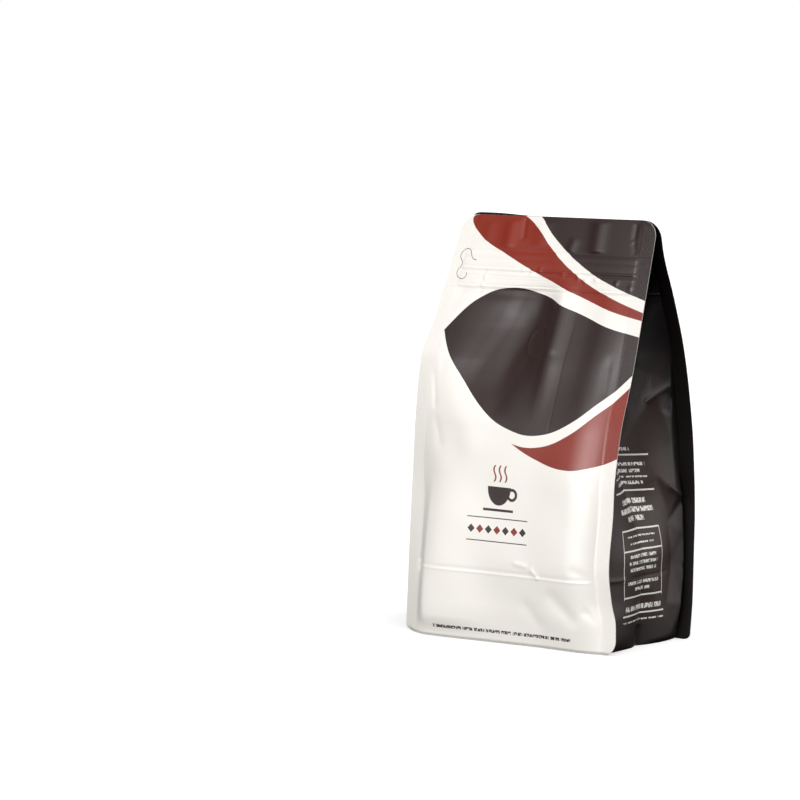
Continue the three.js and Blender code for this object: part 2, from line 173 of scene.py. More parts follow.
# The crispest of those folds, as creases on the same film.
CRISP_FOLDS = [
    ((38.2, 133.5), (19, 123.5), 0.9, 1.5, 1.2, 0.15),
    ((37.5, 129), (31, 117), -0.6, 2.4, 1.6, 0.25),
    ((38.2, 74.2), (26, 81), 0.8, 1.5, 1.2, 0.15),
    ((37.6, 73), (37, 38), 0.5, 1.1, 1.2, 0.1),
    ((37, 38), (33, 6), 0.6, 1.1, 1.2, 0.1),
]
FOLD_ROUND = 1.1       # radius over which the folds between facets are rounded
LEFT_CREASES = [
    ((27.5, 120), (8, 138), 1.6, 6.0, 2, 0.1),
    ((27.5, 120), (10, 96), 1.0, 5.0, 1.6, 0.1),
    ((-31, 66), (-33, 20), 1.6, 5.0, 1.6, 0.1),
    ((32, 70), (33, 24), 1.8, 4.0, 1.4, 0.1),
    ((-38, FOLD_HEIGHT), (38, FOLD_HEIGHT), -0.6, 1.4, 1.4, 0.05),
]
# The zipper's tapes, ribs and grooves: (height, how far they stand out, width).
ZIPPER_LINES = [(197.6, 0.104, 1.3), (195.4, -0.117, 0.35), (193.4, 0.104, 1.3), (191.2, -0.13, 0.4),
                (190.2, 0.26, 0.5), (189.0, -0.286, 0.55), (187.4, 0.078, 0.4), (186.4, -0.065, 0.3),
                (185.1, -0.078, 0.35), (182.0, -0.182, 0.4), (181.1, 0.26, 0.5)]
ZIPPER_LIFT = 0.3      # how far the whole band stands out
# Small crimps where the zipper was flattened: (across, height, how far they stand out).
CRIMPS = [(22.5, 188, 0.525), (28, 186.5, 0.6), (34.5, 187.5, 0.6), (48, 186, 0.525), (57.5, 184, 0.75),
          (12, 189, 0.3), (-4, 190.5, 0.45), (-9, 189.6, 0.45), (-15, 191, 0.375), (-40.5, 186, 0.6),
          (-41, 181.8, 0.6), (-57.5, 186, 0.6)]
CRIMP_WIDTH, CRIMP_HEIGHT = 1.3, 1.4
SCORE_DEPTH, SCORE_WIDTH = 0.2, 0.32
# The line where the base was folded up: (height above it, how far it stands out, width).
FOLD_LINES = [(-0.6, 0.16, 0.6), (0.8, -0.14, 1.0)]


def along(line, z):
    """A smooth line through (height, value) pairs, which never overshoots them."""
    at, value = (np.array(v, float) for v in zip(*line))
    step = np.diff(at)
    slope = np.diff(value) / step
    before, after = slope[:-1], slope[1:]
    total = np.where(before + after == 0, 1, before + after)
    inner = np.where(before * after <= 0, 0, 2 * before * after / total)
    bend = np.concatenate([slope[:1], inner, slope[-1:]])
    z = np.asarray(z, float)
    i = np.clip(np.searchsorted(at, z, side="right") - 1, 0, len(step) - 1)
    t = np.clip((z - at[i]) / step[i], 0, 1)
    rise = t * t * (3 - 2 * t)
    curve = bend[i] * t * (1 - t) ** 2 - bend[i + 1] * t * t * (1 - t)
    return value[i] * (1 - rise) + value[i + 1] * rise + step[i] * curve


def smooth(low, high, v):
    """0 up to low, 1 from high on, and a smooth step between; low may be the greater."""
    t = np.clip((v - low) / (high - low), 0, 1)
    return t * t * (3 - 2 * t)


def near(v, middle, width):
    """1 at the middle, fading to 0 past its width."""
    return np.exp(-(((v - middle) / width) ** 2))


def creased(creases, across, z):
    """The height of all the creases at a place."""
    total = 0.0
    for (x0, z0), (x1, z1), height, width, sharp, ends in creases:
        length2 = (x1 - x0) ** 2 + (z1 - z0) ** 2
        t = np.clip(((across - x0) * (x1 - x0) + (z - z0) * (z1 - z0)) / length2, 0, 1)
        away = np.hypot(across - x0 - t * (x1 - x0), z - z0 - t * (z1 - z0)) / width
        fade = smooth(0, ends, t) * smooth(0, ends, 1 - t) if ends else 1
        total = total + height * fade * np.exp(-(away ** sharp))
    return total


# ---- The front and back panels ----
def rise_across(x):
    """How full a panel is across: a steep flank beside each fin, and a slow rise to the middle."""
    away = np.minimum(np.abs(x), PANEL)
    steep = 1 - (1 - np.clip((PANEL - away) / FLANK, 0, 1)) ** FLANK_POWER
    return FLANK_SHARE * steep + (1 - FLANK_SHARE) * (1 - (away / PANEL) ** 2)


def dome(x, z):
    """The front's fullness across: its left flank is steepest at the fin low down, further in higher up."""
    away = np.minimum(np.abs(x), PANEL)
    t = np.clip((PANEL - along(LEFT_INSET, z) - away) / along(LEFT_FLANK, z), 0, 1)
    start = along(LEFT_START, z)
    climb = start * t + (0.5 - start) * t ** 2 - (2 - start) / 3 * t ** 3 + t ** 4 / 4
    swell = climb / (1 / 12 + start / 3)
    share = along(LEFT_SHARE, z)
    left = share * swell + (1 - share) * (1 - (away / PANEL) ** 2)
    return np.where(x < 0, left, rise_across(x))


def fin_bend(x, z):
    """How far the front's left side stands forward of the line between the fins: its fin bends back."""
    flat = FIN + along(LEFT_INSET, z)
    share = np.where(x < flat - HALF, (HALF + x) / flat, smooth(25, flat - HALF, x))
    return along(FIN_BEND, z) * share


def zipper(x, z):
    """Relief of the press-to-close band from fin to fin: tapes, ribs and grooves, flat at both ends."""
    low, high = ZIPPER_SCORES
    inside = smooth(PANEL + 0.3, PANEL - 1.5, np.abs(x))
    ribs = sum(height * near(z, at, width) for at, height, width in ZIPPER_LINES)
    band = ZIPPER_LIFT * smooth(low + 0.6, low + 2.8, z) * smooth(high - 0.3, high - 2.1, z)
    return inside * (ribs + band)


def crimps(x, z):
    return sum(height * near(x, at, CRIMP_WIDTH) * near(z, up, CRIMP_HEIGHT) for at, up, height in CRIMPS)


def score_lines(z):
    return sum(-SCORE_DEPTH * near(z, score, SCORE_WIDTH) for score in ZIPPER_SCORES)


def valve(x, z):
    """The vent valve behind the film: a raised ring round a flat disc."""
    away = np.hypot(x - VALVE_AT[0], z - VALVE_AT[1])
    disc = VALVE_DISC * smooth(VALVE_RADIUS + 1, VALVE_RADIUS - 1, away)
    return VALVE_RING * near(away, VALVE_RADIUS, VALVE_RING_WIDTH) + disc


def fold_line(z):
    """The line where the base was folded up inside: a shallow groove over a soft ridge."""
    return sum(height * near(z, FOLD_HEIGHT + up, width) for up, height, width in FOLD_LINES)


def ripple(x, z):
    """Faint, slow unevenness of pulled film."""
    return (0.10 * np.sin(x / 5.1 + 1.3 * np.sin(z / 31)) + 0.12 * np.sin(z / 9.3 + x / 17 + 2)
            + 0.07 * np.sin((x + z) / 6.7 + 0.9))


def hollow(x, z):
    """The sunken upper left of the front."""
    leaning = x - HOLLOW_SLANT * (z - VALVE_AT[1]) * smooth(14, -10, x)
    return -HOLLOW * along(HOLLOW_UP, z) * along(HOLLOW_ACROSS, leaning) * smooth(-PANEL, -50, x)


def trough(x, z):
    """The shallow dip below the zipper's left half."""
    return -TROUGH * near(z, 177.6, 2.6) * smooth(22, -10, x)


def shoulder(x, z):
    """The swell beside the front's left flank, which makes that flank steeper."""
    return SHOULDER * smooth(-55.5, -47, x) * smooth(0, -42, x) * smooth(86, 60, z) * smooth(2, 12, z)


def front_relief(x, z):
    """The front's fine relief, which fades beside the fins, and its main form."""
    own = (creased(FRONT_CREASES, x, z) + valve(x, z) + crimps(x, z) + fold_line(z) + ripple(x, z)
           + trough(x, z) + shoulder(x, z))
    form = along(FRONT_FULLNESS, z) * dome(x, z) + hollow(x, z) + fin_bend(x, z)
    return own, form


def back_relief(x, z):
    """The back's fine relief, which fades beside the fins, and its main form."""
    own = creased(BACK_CREASES, x, z) + ripple(x + 40, z)
    form = along(BACK_FULLNESS, z) * rise_across(x)
    return own, form


# Each panel's left and right upright line, its relief, and the way it faces along Y.
PANELS = {"front": (FRONT_LEFT, FRONT_RIGHT, front_relief, -1),
          "back": (BACK_LEFT, BACK_RIGHT, back_relief, 1)}
RELIEF_START = 12.0    # how quickly fine relief sets in from a panel's edge


def chord(panel, x, z):
    """Where the line between a panel's two fins lies."""
    left, right = PANELS[panel][:2]
    t = (x + HALF) / WIDTH
    return along(left, z) * (1 - t) + along(right, z) * t


def face(panel, x, z):
    """How far back the outer face of a panel is."""
    relief, out = PANELS[panel][2:]
    fade = np.clip((1 - np.abs(x) / PANEL) * RELIEF_START, 0, 1)
    own, form = relief(x, z)
    under = UNDERCUT * smooth(UNDERCUT_HEIGHT, 0, z)
    return chord(panel, x, z) + out * (form + own * fade + zipper(x, z) + score_lines(z) - under)


def tuck(side, panel, z):
    """How far a panel's side edge is drawn in by the filling."""
    return along(FRONT_RIGHT_TUCK if side > 0 and panel == "front" else OTHER_TUCK, z)


def pulled(x, panel, z):
    """Draws a panel in towards its middle, most of all at its edge."""
    share = np.minimum(1, np.abs(x) / PANEL) ** 2
    amount = np.where(x > 0, tuck(1, panel, z), tuck(-1, panel, z))
    return x - np.sign(x) * share * amount


def drawn_in(x, panel, z):
    """Draws in what lies past a rounded corner, so that the panel's edge is round there."""
    low = z < HEIGHT / 2
    left, right = BOTTOM_CORNERS[panel]
    radius = np.where(low, np.where(x < 0, left, right), TOP_CORNER)
    reach = np.clip(radius - np.where(low, z, HEIGHT - z), 0, radius)
    start = np.where(low, PANEL - 1, HALF - TOP_CORNER - 2.5)
    past = np.abs(x) - start
    half_width = HALF - radius + np.sqrt(radius ** 2 - reach ** 2)
    inward = start + past * (half_width - start) / (HALF - start)
    return np.where((reach > 0) & (past > 0), np.sign(x) * inward, x)


def fin_thickness(x, z):
    """The film's thickness, less where the front and the back come together."""
    return np.minimum(FILM, (chord("back", x, z) - chord("front", x, z) - SHUT_GAP) / 2)


def panel_point(panel, x, z, depth=0.0):
    """Places on a panel's outer face, or depth film thicknesses behind it."""
    behind = -PANELS[panel][3] * depth * fin_thickness(x, z)
    up = z + BACK_RISE * smooth(205, HEIGHT, z) * smooth(-15, -50, x) if panel == "back" else z
    return np.stack([drawn_in(pulled(x, panel, z), panel, z), face(panel, x, z) + behind, up], -1)


# ---- The side gussets ----
GUSSETS = {"right": (1, RIGHT_VALLEY, RIGHT_CREASES), "left": (-1, LEFT_VALLEY, LEFT_CREASES)}
OPEN_MOUTH = 20.0      # half a gusset's mouth from which on its relief has its full height
CREASE_START, FACET_START = 9.0, 20.0    # how quickly creases and facets set in from its fins


def net_height(s, z):
    """The height of the net of facets, which is nought outside it."""
    names = list(FACETS)
    places = [Vector(FACETS[name][:2]) for name in names]
    edges = [(names.index(a), names.index(b)) for a, b in FOLDS]
    places, _, triangles, origin, _, _ = delaunay_2d_cdt(places, edges, [], 0, 1e-5)
    stands = [FACETS[names[start[0]]][2] for start in origin]
    total = np.zeros(np.shape(s))
    for a, b, c in triangles:
        (ax, az), (bx, bz), (cx, cz) = places[a], places[b], places[c]
        area = (bx - ax) * (cz - az) - (cx - ax) * (bz - az)
        if abs(area) > 1e-6:
            at_b = ((s - ax) * (cz - az) - (cx - ax) * (z - az)) / area
            at_c = ((bx - ax) * (z - az) - (s - ax) * (bz - az)) / area
            height = stands[a] + (stands[b] - stands[a]) * at_b + (stands[c] - stands[a]) * at_c
            total = np.where((at_b >= 0) & (at_c >= 0) & (at_b + at_c <= 1), height, total)
    return total


def facets(s, z):
    """The net of facets with its folds rounded, and the crisp folds over it."""
    total = net_height(s, z)
    rings = ((FOLD_ROUND * 0.6, 6), (FOLD_ROUND * 1.2, 8))
    for ring, (radius, count) in enumerate(rings):
        for k in range(count):
            angle = 2 * pi * (k + 0.5 * ring) / count
            total = total + net_height(s + radius * cos(angle), z + radius * sin(angle))
    samples = 1 + sum(count for _, count in rings)
    return total / samples + creased(CRISP_FOLDS, s, z)


def gusset_point(which, s, z):
    """Places on a gusset: s runs from its front fin, past 0 at the middle fold, to its back fin."""
    side, valley, creases = GUSSETS[which]
    half_film = GUSSET_FILM / 2
    root = np.full_like(z, side * PANEL)
    thick = fin_thickness(root, z)
    front = np.stack([side * (PANEL - tuck(side, "front", z)), face("front", root, z) + thick], -1)
    back = np.stack([side * (PANEL - tuck(side, "back", z)), face("back", root, z) - thick], -1)
    half_mouth = np.linalg.norm(back - front, axis=-1) / 2
    deepest = np.sqrt(np.maximum(half_film ** 2 - half_mouth ** 2, 0)) * 0.999
    depth = np.minimum(along(valley, z), deepest)
    fold_x = side * (PANEL - depth)
    fold = np.stack([fold_x, (chord("front", fold_x, z) + chord("back", fold_x, z)) / 2], -1)
    before = (s < 0)[..., None]
    start, end = np.where(before, front, fold), np.where(before, fold, back)
    across = s / half_film
    t = np.where(across < 0, across + 1, across)
    run = end - start
    half = np.linalg.norm(run, axis=-1)
    slack = np.maximum(half_film - half, 0)
    fullness = np.minimum(np.minimum(np.sqrt(3 * half * slack / 8), GUSSET_FULLNESS), 0.2 * half_mouth)
    outward = side * np.stack([run[..., 1], -run[..., 0]], -1) / half[..., None]
    from_fin = 1 - np.abs(across)
    edge = np.minimum(np.minimum(1, from_fin * CREASE_START), half_mouth / OPEN_MOUTH)
    lift = fullness * 4 * t * (1 - t) + (creased(creases, s, z) + 0.6 * ripple(s + 20, z)) * edge
    if which == "right":
        open_share = np.minimum(1, half_mouth / OPEN_MOUTH)
        lift = lift + facets(s, z) * open_share * np.minimum(1, from_fin * FACET_START)
    place = start + run * t[..., None] + outward * lift[..., None]
    x, y = place[..., 0], place[..., 1]
    return np.stack([np.where(y < 0, drawn_in(x, "front", z), drawn_in(x, "back", z)), y, z], -1)


# ---- Meshes ----
BAKE_MARGIN = 0.004    # left free round the layout that a finish is baked to
MERGE, SLIVER = 2e-6, 1e-6     # in metres: points closer than this join, and edges shorter than this go
SHARP_ANGLE = 50       # degrees


def heights(step, zipper_step):
    """Rows step apart, closer over the base, the fold line, the zipper band and the top edge."""
    spans = ((0, 9, 0.4), (9, 34, step), (34, 41, 0.35), (41, 179, step), (179, 201, zipper_step),
             (201, HEIGHT - 2, step), (HEIGHT - 2, HEIGHT, 0.25))
    rows = [np.linspace(low, high, round((high - low) / gap) + 1) for low, high, gap in spans]
    return np.unique(np.concatenate(rows).round(5))


def sheet(name, patches):
    """A mesh from patches, which join where they meet. A patch is a grid of places in millimetres, the
    film's own places in millimetres, and a material slot."""
    vertices, faces, film, slots = [], [], [], []
    count = 0
    for places, flat, slot in patches:
        rows, columns = places.shape[:2]
        i = count + np.arange(rows * columns).reshape(rows, columns)
        quads = np.stack([i[:-1, :-1], i[:-1, 1:], i[1:, 1:], i[1:, :-1]], -1).reshape(-1, 4)
        vertices.append(places.reshape(-1, 3))
        faces.append(quads)
        film.append(flat.reshape(-1, 2))
        slots += [slot] * len(quads)
        count += rows * columns
    vertices, faces, film = (np.concatenate(v) for v in (vertices, faces, film))
    vertices[:, 1] += Y_SHIFT
    mesh = bpy.data.meshes.new(name)
    mesh.from_pydata((vertices * MM).tolist(), [], faces.tolist())
    low, high = film.min(0), film.max(0)
    laid_out = BAKE_MARGIN + (1 - 2 * BAKE_MARGIN) * (film - low) / (high - low)
    for layer, values in (("film", film), ("OFBake", laid_out)):
        data = mesh.uv_layers.new(name=layer).data
        data.foreach_set("uv", values[faces.reshape(-1)].reshape(-1).astype(np.float32))
    mesh.polygons.foreach_set("material_index", slots)
    mesh.polygons.foreach_set("use_smooth", [True] * len(faces))
    joined = bmesh.new()
    joined.from_mesh(mesh)
    bmesh.ops.remove_doubles(joined, verts=joined.verts, dist=MERGE)
    bmesh.ops.dissolve_degenerate(joined, edges=joined.edges, dist=SLIVER)
    joined.to_mesh(mesh)
    joined.free()
    mesh.set_sharp_from_angle(angle=radians(SHARP_ANGLE))
    piece = bpy.data.objects.new(name, mesh)
    bpy.context.scene.collection.objects.link(piece)
    return piece


def spread(values, z):
    """A grid of every value across with every height."""
    return np.meshgrid(values, z)


FINE_ROWS, ROWS = heights(0.75, 0.3), heights(1.1, 0.45)
FIN_COLUMNS = 9
RIM_DROP = 1.0         # how far down the inner side of the top edge is modelled
SEAL_DROP, SEAL_DIP = 0.55, 0.25       # how far the seal lies below the top edge, and the grooves in it
GUSSET_DROP = 0.6      # how far below the top edge the gussets end
BASE_DEPTH = 68.0      # the base's film from front to back
BASE_LIP = 3.2         # height of the seal round the base
BASE_SAG = 2.4         # how far the film inside the seal sags
BASE_FOLD, BASE_FOLD_WIDTH = 0.3, 1.2  # height and width of the folds in that film
PRINTED, PLAIN, CUT = 0, 1, 2          # material slots of the panels


def panel_piece(name, panel, rows, columns):
    """A panel with its two fins: the printed outer face, the fins' plain inner side, and the cut edges."""
    turn = 1 if panel == "front" else -1
    fin = np.linspace(PANEL, HALF, FIN_COLUMNS)
    across = np.concatenate([-fin[::-1], np.linspace(-PANEL, PANEL, columns)[1:-1], fin])

    def patch(x, z, depth, slot):
        places = panel_point(panel, x, z, depth)
        flat = np.stack([x, z], -1)
        return places[:, ::turn], flat[:, ::turn], slot

    patches = [patch(*spread(across, rows), 0.0, PRINTED)]
    for side in (-1, 1):
        x, z = spread(side * fin[::-side], rows)
        mirrored = 2 * side * HALF - x
        places = panel_point(panel, x, z, 1.0)[:, ::turn]
        patches.append((places, np.stack([mirrored, z], -1)[:, ::turn], PLAIN))
        edge_x = np.full((len(rows), 2), side * HALF)
        depth = np.broadcast_to([0.0, 1.0][::side], edge_x.shape)
        patches.append(patch(edge_x, np.broadcast_to(rows[:, None], edge_x.shape), depth, CUT))
    for z, sign in ((HEIGHT, 1), (0.0, -1)):
        x, depth = spread(across, np.array([0.0, 1.0])[::sign])
        patches.append(patch(x, np.full_like(x, z), depth, CUT))
    x, fall = spread(across[FIN_COLUMNS - 1:1 - FIN_COLUMNS], np.array([0.0, RIM_DROP]))
    patches.append(patch(x, HEIGHT - fall, 1.0, PLAIN))
    return sheet(name, patches)


def gusset_piece(name, which, rows, columns):
    """A side gusset from fin to fin."""
    half = GUSSET_FILM / 2
    s, z = spread(np.linspace(-half, half, columns), rows[rows < HEIGHT - GUSSET_DROP])
    turn = 1 if which == "right" else -1
    return sheet(name, [(gusset_point(which, s, z)[:, ::turn], np.stack([s, z], -1)[:, ::turn], 0)])


def between(start, end, t):
    return start * (1 - t[..., None]) + end * t[..., None]


def top_seal_piece(name):
    """The pressed films inside the top edge, from panel to panel."""
    x, t = spread(np.linspace(-PANEL, PANEL, 80), np.linspace(0, 1, 9))
    z = np.full_like(x, HEIGHT - SEAL_DROP)
    places = between(panel_point("front", x, z, 1.0), panel_point("back", x, z, 1.0), t)
    places[..., 2] -= SEAL_DIP * np.sin(pi * 3 * t) ** 2
    return sheet(name, [(places, np.stack([x, 3 * t], -1), 0)])


def base_piece(name):
    """The base: a seal round its edge, and inside it film that sags back almost to the ground."""
    close = np.array([0, 0.006, 0.0065, 0.012, 0.03])
    a = np.concatenate([close, np.linspace(0.05, 0.95, 73), 1 - close[::-1]])
    b = np.concatenate([close * 1.7, np.linspace(0.08, 0.92, 45), 1 - close[::-1] * 1.7])
    a, b = spread(a, b)
    ground = np.zeros_like(a)
    x = (2 * a - 1) * PANEL
    half = GUSSET_FILM / 2
    front, back = panel_point("front", x, ground, 1.0), panel_point("back", x, ground, 1.0)
    left, right = (gusset_point(which, (2 * b - 1) * half, ground) for which in ("left", "right"))
    corners = [[panel_point(panel, side * PANEL + ground, ground, 1.0) for side in (-1, 1)]
               for panel in ("front", "back")]
    places = between(front, back, b) + between(left, right, a) - between(between(*corners[0], a),
                                                                        between(*corners[1], a), b)
    edge = np.minimum(np.minimum(a, 1 - a) * 2 * PANEL, np.minimum(b, 1 - b) * BASE_DEPTH)
    from_middle = np.abs(b - 0.5) * BASE_DEPTH
    slanting = from_middle - (np.abs(a - 0.5) * 2 * PANEL - 25)
    folds = near(from_middle, 0, BASE_FOLD_WIDTH) + near(slanting, 0, BASE_FOLD_WIDTH)
    rise = BASE_LIP - BASE_SAG * smooth(1, 26, edge) + BASE_FOLD * folds
    places[..., 2] = np.where(edge > 0.75, rise * smooth(0.72, 0.78, edge), 0.0)
    flat = np.stack([x, b * BASE_DEPTH], -1)
    return sheet(name, [(places[:, ::-1], flat[:, ::-1], 0)])


def ribbon_piece(name, path, width, lift):
    """A narrow line that follows the front film."""
    path = np.array(path, float)
    steps = np.concatenate([[0], np.cumsum(np.hypot(*np.diff(path, axis=0).T))])
    at = np.linspace(0, steps[-1], round(steps[-1] / TAB_STEP))
    smooth_path = np.stack([np.interp(at, steps, path[:, k]) for k in (0, 1)], -1)
    for _ in range(TAB_ROUNDING):
        smooth_path[1:-1] = (smooth_path[:-2] + 2 * smooth_path[1:-1] + smooth_path[2:]) / 4
    run = np.gradient(smooth_path, axis=0)
    normal = np.stack([-run[:, 1], run[:, 0]], -1) / np.hypot(*run.T)[:, None]
    sides = np.stack([smooth_path + normal * width / 2, smooth_path - normal * width / 2], 1)
    places = panel_point("front", sides[..., 0], sides[..., 1])
    places[..., 1] -= lift
    flat = np.stack(np.broadcast_arrays(at[:, None], [0, width]), -1)
    return sheet(name, [(places, flat, 0)])


# The die-cut pull tab: an upper and a lower lobe with a waist on the left, open on the right.
TAB_PATH = [(-49.5, 194.3), (-51.3, 194.4), (-52.6, 195.1), (-53.8, 196.4), (-54.5, 198), (-56, 199.3),
            (-58, 200), (-60, 199.5), (-61.7, 198), (-62.2, 196), (-61.2, 194.4), (-59.6, 193.2),
            (-59.1, 191.9), (-59.9, 190.2), (-61.2, 188.8), (-61.5, 187.3), (-60.4, 185.5),
            (-58.5, 184.4), (-56, 184.2), (-54.4, 184.9), (-53.7, 186), (-54, 187.7)]
TAB_WIDTH, TAB_LIFT = 0.34, 0.05
TAB_STEP, TAB_ROUNDING = 0.35, 6       # spacing of its points, and how often they are averaged

front = panel_piece("front_panel", "front", FINE_ROWS, 190)
back = panel_piece("back_panel", "back", ROWS, 118)
right_gusset = gusset_piece("right_gusset", "right", FINE_ROWS, 101)
left_gusset = gusset_piece("left_gusset", "left", ROWS, 79)
top_seal = top_seal_piece("top_seal")
base = base_piece("base")
# The pull tab's cut is a grey ribbon on the film; its grey is painted shade in the cut.
pull_tab = ribbon_piece("pull_tab_line", TAB_PATH, TAB_WIDTH, TAB_LIFT)
PIECES = [front, back, right_gusset, left_gusset, top_seal, base, pull_tab]


# ---- Materials ----
def linear(*srgb):
    """A colour given from 0 to 255, as the shaders take it."""
    return tuple(((c / 255 + 0.055) / 1.055) ** 2.4 if c > 10 else c / 255 / 12.92 for c in srgb) + (1.0,)


WHITE = linear(244, 240, 233)
BROWN = linear(52, 38, 37)
RUST = linear(138, 45, 29)
GUSSET_BROWN = linear(54, 39, 36)
GUSSET_PAINTED_SHADE = linear(15, 9, 9)         # painted shade: darker towards its top, its back fin and its foot
BACK_BROWN = linear(24, 15, 15)
INNER_BROWN = linear(18, 11, 11)
EDGE_WHITE = linear(236, 233, 227)
# The die-cut line's grey is painted shade: the cut is real, and the grey ribbon stands for the shade in it.
CUT_SHADE_GREY = linear(92, 86, 82)
SOFT_EDGE = 0.14       # millimetres over which one ink gives way to the next
SEAL_SOFT = 0.6        # the same for a heat seal's hatching
MATT, INNER_MATT, EDGE_MATT, LINE_MATT = 0.38, 0.45, 0.6, 0.7     # roughness
PRINT_GLOSS, SIDE_GLOSS, PLAIN_GLOSS = 0.85, 0.65, 0.4            # specular level
MATT_SPREAD = 0.08     # how much the roughness varies over a film
PEEL_HEIGHT, HAIRLINE_HEIGHT, HATCH_HEIGHT = 0.035, 0.018, 0.16   # millimetres of fine relief
CURVE_TOP = HEIGHT + 10                # the height that a curve's 1 stands for


class Field:
    """A number over a surface. Arithmetic with it adds the shader nodes that work it out."""

    def __init__(self, paint, socket):
        self.paint, self.socket = paint, socket

    def op(self, operation, *others, clamp=False):
        node = self.paint.add("ShaderNodeMath", operation=operation, use_clamp=clamp)
        for socket, value in zip(node.inputs, (self, *others)):
            self.paint.feed(socket, value)
        return Field(self.paint, node.outputs[0])

    def __add__(self, other):
        return self.op("ADD", other)

    def __sub__(self, other):
        return self.op("SUBTRACT", other)

    def __rsub__(self, other):
        return self.op("MULTIPLY_ADD", -1.0, other)

    def __mul__(self, other):
        return self.op("MULTIPLY", other)

    def __abs__(self):
        return self.op("ABSOLUTE")

    def least(self, other):
        return self.op("MINIMUM", other)

    def most(self, other):
        return self.op("MAXIMUM", other)

    def sine(self):
        return self.op("SINE")

    def squared(self):
        return self.op("MULTIPLY", self)

    def inside(self, soft=SOFT_EDGE):
        """1 where the number is above 0, else 0, with a narrow soft edge."""
        return self.op("MULTIPLY_ADD", 1 / soft, 0.5, clamp=True)


def greatest(fields):
    """The greatest of several numbers over a surface."""
    top = fields[0]
    for other in fields[1:]:
        top = top.most(other)
    return top


class Nodes:
    """A shader tree under construction."""

    def __init__(self, tree):
        self.tree = tree

    def add(self, kind, inputs=None, **settings):
        node = self.tree.nodes.new(kind)
        for key, value in settings.items():
            setattr(node, key, value)
        for key, value in (inputs or {}).items():
            self.feed(node.inputs[key], value)
        return node

    def feed(self, socket, value):
        value = value.socket if isinstance(value, Field) else value
        if isinstance(value, bpy.types.NodeSocket):
            self.tree.links.new(value, socket)
        else:
            socket.default_value = value


class Paint(Nodes):
    """A material under construction, with the film's own places in millimetres as u and v."""

    def __init__(self, name, roughness, specular):
        self.roughness = roughness
        self.material = bpy.data.materials.new(name)
        self.material.use_nodes = True
        super().__init__(self.material.node_tree)
        self.shader = self.tree.nodes["Principled BSDF"]
        self.shader.inputs["Roughness"].default_value = roughness
        self.shader.inputs["Specular IOR Level"].default_value = specular
        self.place = self.add("ShaderNodeUVMap", uv_map="film").outputs["UV"]
        split = self.add("ShaderNodeSeparateXYZ", {"Vector": self.place})
        self.u, self.v = (Field(self, split.outputs[axis]) for axis in ("X", "Y"))

    def noise(self, scale, detail=2.0, stretch=(1, 1), offset=0.0):
        place = self.add("ShaderNodeMapping", {"Vector": self.place, "Scale": (*stretch, 1),
                                               "Location": (offset, offset, 0)})
        texture = self.add("ShaderNodeTexNoise", {"Vector": place.outputs["Vector"], "Scale": scale,
                                                  "Detail": detail}, noise_dimensions="2D")
        return Field(self, texture.outputs["Fac"])

    def curve(self, across, points):
        """A height in millimetres that follows (share across, height) points."""
        node = self.add("ShaderNodeFloatCurve", {"Value": across})
        line = node.mapping.curves[0]
        while len(line.points) < len(points):
            line.points.new(0.5, 0.5)
        for point, (t, height) in zip(line.points, points):
            point.location = (t, height / CURVE_TOP)
        node.mapping.update()
        return Field(self, node.outputs["Value"]) * CURVE_TOP

    def mix(self, base, layers):
        """Inks laid one over another: each a mask and its colour."""
        colour = base
        for mask, ink in layers:
            node = self.add("ShaderNodeMix", data_type="RGBA")
            self.feed(node.inputs[0], mask)
            self.feed(node.inputs[6], colour)
            self.feed(node.inputs[7], ink)
            colour = node.outputs[2]
        return colour

    def colour(self, value):
        self.feed(self.shader.inputs["Base Color"], value)

    def bump(self, layers):
        """Fine relief: each layer a field from 0 to 1 and its height in millimetres."""
        normal = None
        for field, height in layers:
            node = self.add("ShaderNodeBump", {"Strength": 1.0, "Distance": height * MM, "Height": field})
            if normal is not None:
                self.feed(node.inputs["Normal"], normal)
            normal = node.outputs["Normal"]
        self.feed(self.shader.inputs["Normal"], normal)

    def satin(self, seal=None):
        """A matt film's finish: faint orange peel, hairlines along the roll, and a hatched heat seal."""
        peel = self.noise(0.8, 3.0)
        hairlines = self.noise(1.0, 2.0, stretch=(0.06, 2.2))
        layers = [(peel, PEEL_HEIGHT), (hairlines, HAIRLINE_HEIGHT)]
        if seal is not None:
            ticks = self.noise(1.0, 2.0, stretch=(2.4, 0.8), offset=7.0)
            layers.append((ticks * seal, HATCH_HEIGHT))
        self.bump(layers)
        patchy = self.noise(0.05, 2.0)
        least = self.roughness - MATT_SPREAD / 2
        self.feed(self.shader.inputs["Roughness"], patchy * MATT_SPREAD + least)


# The front's fields of ink: the edges between them, as (share of the width, height).
TOP_EDGE = [(0, 226), (0.3, 225), (0.42, 217), (0.5, 208), (0.7, 192), (0.85, 184), (1, 178)]
TOP_BAND_END = [(0, 220), (0.12, 207), (0.3, 197), (0.5, 187), (0.7, 178), (0.85, 172), (1, 168)]
FIELD_TOP = [(0, 142), (0.08, 159), (0.2, 175), (0.35, 181), (0.5, 178), (0.7, 170), (0.85, 164), (1, 160)]
FIELD_END = [(0, 172), (0.08, 157), (0.2, 138), (0.35, 121), (0.5, 111), (0.65, 109), (0.8, 117),
             (0.9, 128), (1, 141)]
LOW_BAND_END = [(0, 180), (0.2, 140), (0.35, 119), (0.5, 106), (0.65, 97), (0.8, 93), (0.9, 95), (1, 100)]
TOP_GAP, LOW_GAP = 6.0, 6.0            # width of the white between a brown field and its band
